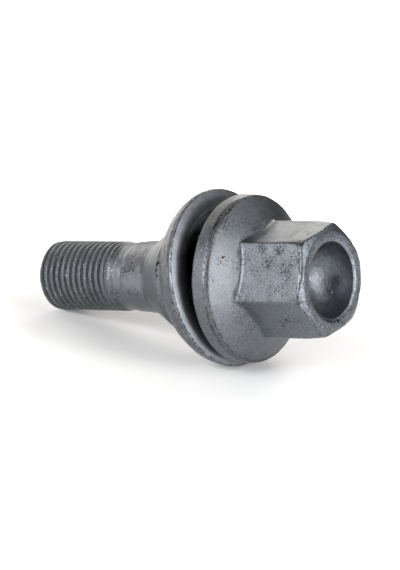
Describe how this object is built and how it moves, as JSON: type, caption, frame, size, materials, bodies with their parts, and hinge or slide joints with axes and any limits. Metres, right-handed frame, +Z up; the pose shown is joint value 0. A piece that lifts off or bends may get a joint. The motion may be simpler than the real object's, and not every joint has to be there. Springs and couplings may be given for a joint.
{
  "type": "wheel bolt",
  "caption": "Hexagon-headed wheel bolt with a dished end, wide flange, loose captive washer, conical seat and plain shank above a fine thread.",
  "frame": {"origin": "on the ground, under the middle of the bounding box", "axes": "+Z up; the bolt's axis lies in the XZ plane with the head towards +X, raised 13.0 degrees from the ground"},
  "size_m": [0.06, 0.0296, 0.0287],
  "materials": {
    "coated_steel": "matt grey zinc-flake coating on forged steel",
    "coated_washer": "matt grey zinc-flake coating on pressed steel"
  },
  "bodies": {
    "bolt": {"bolt": "coated_steel"},
    "washer": {"washer": "coated_washer"}
  },
  "joints": [
    {"name": "washer_spin", "type": "hinge", "parent": "bolt", "child": "washer", "pos_m": [0.00562, 0, 0.01339], "axis": [0.9374, 0, 0.3481], "continuous": true}
  ]
}
